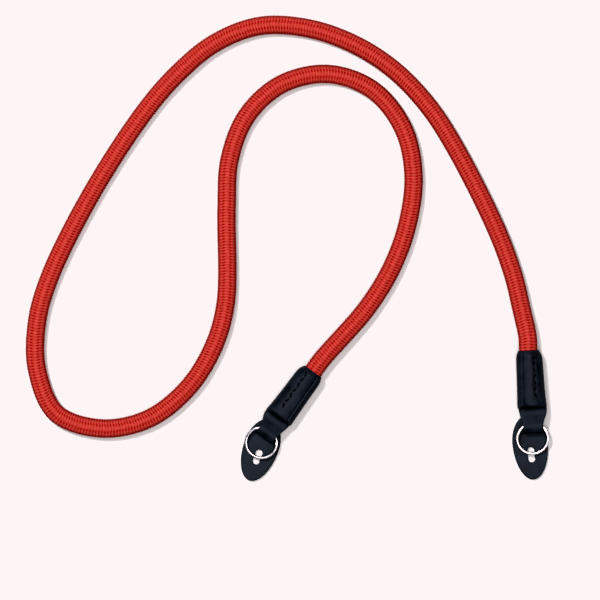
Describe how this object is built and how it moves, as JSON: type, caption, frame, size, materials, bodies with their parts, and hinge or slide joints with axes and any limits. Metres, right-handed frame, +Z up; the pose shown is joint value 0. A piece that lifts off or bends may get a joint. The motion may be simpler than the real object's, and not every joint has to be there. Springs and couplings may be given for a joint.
{
  "type": "camera neck strap",
  "caption": "Braided rope neck strap for a camera: the leather sleeves at its ends fold round split rings, with leather pads under the rings.",
  "frame": {"origin": "on the surface that the strap lies on, at the middle of the box round its two leather ends", "axes": "+X from the left leather end to the right one, +Y from the ends towards the rope's loops, +Z up from the surface"},
  "size_m": [0.2516, 0.224, 0.0121],
  "materials": {
    "braided_cord": "braided",
    "black_leather": "satin",
    "plated_steel": "polished"
  },
  "bodies": {
    "strap": {"rope": "braided_cord", "sleeve_left": "black_leather", "sleeve_right": "black_leather", "pad_left": "black_leather", "pad_right": "black_leather"},
    "ring_left": {"ring_left": "plated_steel"},
    "ring_right": {"ring_right": "plated_steel"}
  },
  "joints": [
    {"name": "ring_left_swing", "type": "hinge", "parent": "strap", "child": "ring_left", "pos_m": [-0.06076, -0.00821, 0.00585], "axis": [-0.809, 0.5878, 0], "range_deg": [0, 140]},
    {"name": "ring_right_swing", "type": "hinge", "parent": "strap", "child": "ring_right", "pos_m": [0.0659, -0.005, 0.00585], "axis": [-0.9986, -0.0523, 0], "range_deg": [0, 140]}
  ]
}
